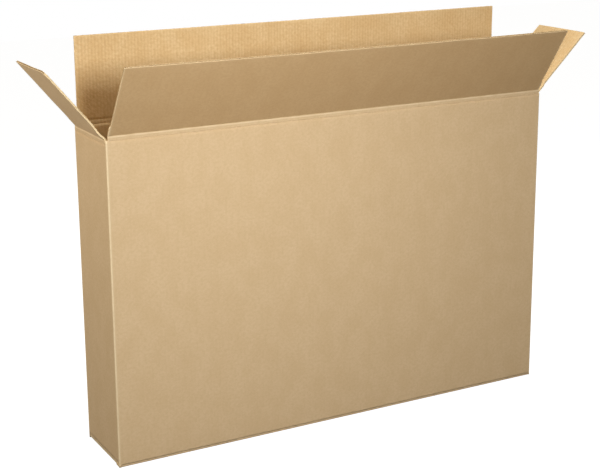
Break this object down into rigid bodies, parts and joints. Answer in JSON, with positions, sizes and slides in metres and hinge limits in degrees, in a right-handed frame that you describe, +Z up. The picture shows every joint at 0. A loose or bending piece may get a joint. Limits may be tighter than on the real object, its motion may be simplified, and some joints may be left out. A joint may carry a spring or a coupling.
{
  "type": "flat-panel tv box",
  "caption": "Tall shallow corrugated carton for a flat-panel television, standing open, with long and end top flaps hinged at their creases.",
  "frame": {"origin": "middle of the carton's underside, on the floor", "axes": "+X along the long front panel, to its right seen from in front; +Y from the front panel to the rear panel; +Z up to the open top"},
  "size_m": [1.4083, 0.2999, 0.9414],
  "materials": {
    "kraft_board": "matte",
    "kraft_flap": "matte"
  },
  "bodies": {
    "carton": {"carton_body": "kraft_board"},
    "front_flap": {"front_flap": "kraft_flap"},
    "rear_flap": {"rear_flap": "kraft_flap"},
    "left_flap": {"left_flap": "kraft_flap"},
    "right_flap": {"right_flap": "kraft_flap"}
  },
  "joints": [
    {"name": "front_flap_fold", "type": "hinge", "parent": "carton", "child": "front_flap", "pos_m": [0, -0.097, 0.752], "axis": [1, 0, 0], "range_deg": [-122.7, 138]},
    {"name": "rear_flap_fold", "type": "hinge", "parent": "carton", "child": "rear_flap", "pos_m": [0, 0.097, 0.752], "axis": [-1, 0, 0], "range_deg": [-91.3, 172]},
    {"name": "left_flap_fold", "type": "hinge", "parent": "carton", "child": "left_flap", "pos_m": [-0.57, 0, 0.7434], "axis": [0, -1, 0], "range_deg": [-129.5, 132.5]},
    {"name": "right_flap_fold", "type": "hinge", "parent": "carton", "child": "right_flap", "pos_m": [0.57, 0, 0.7434], "axis": [0, 1, 0], "range_deg": [-136, 126]}
  ]
}
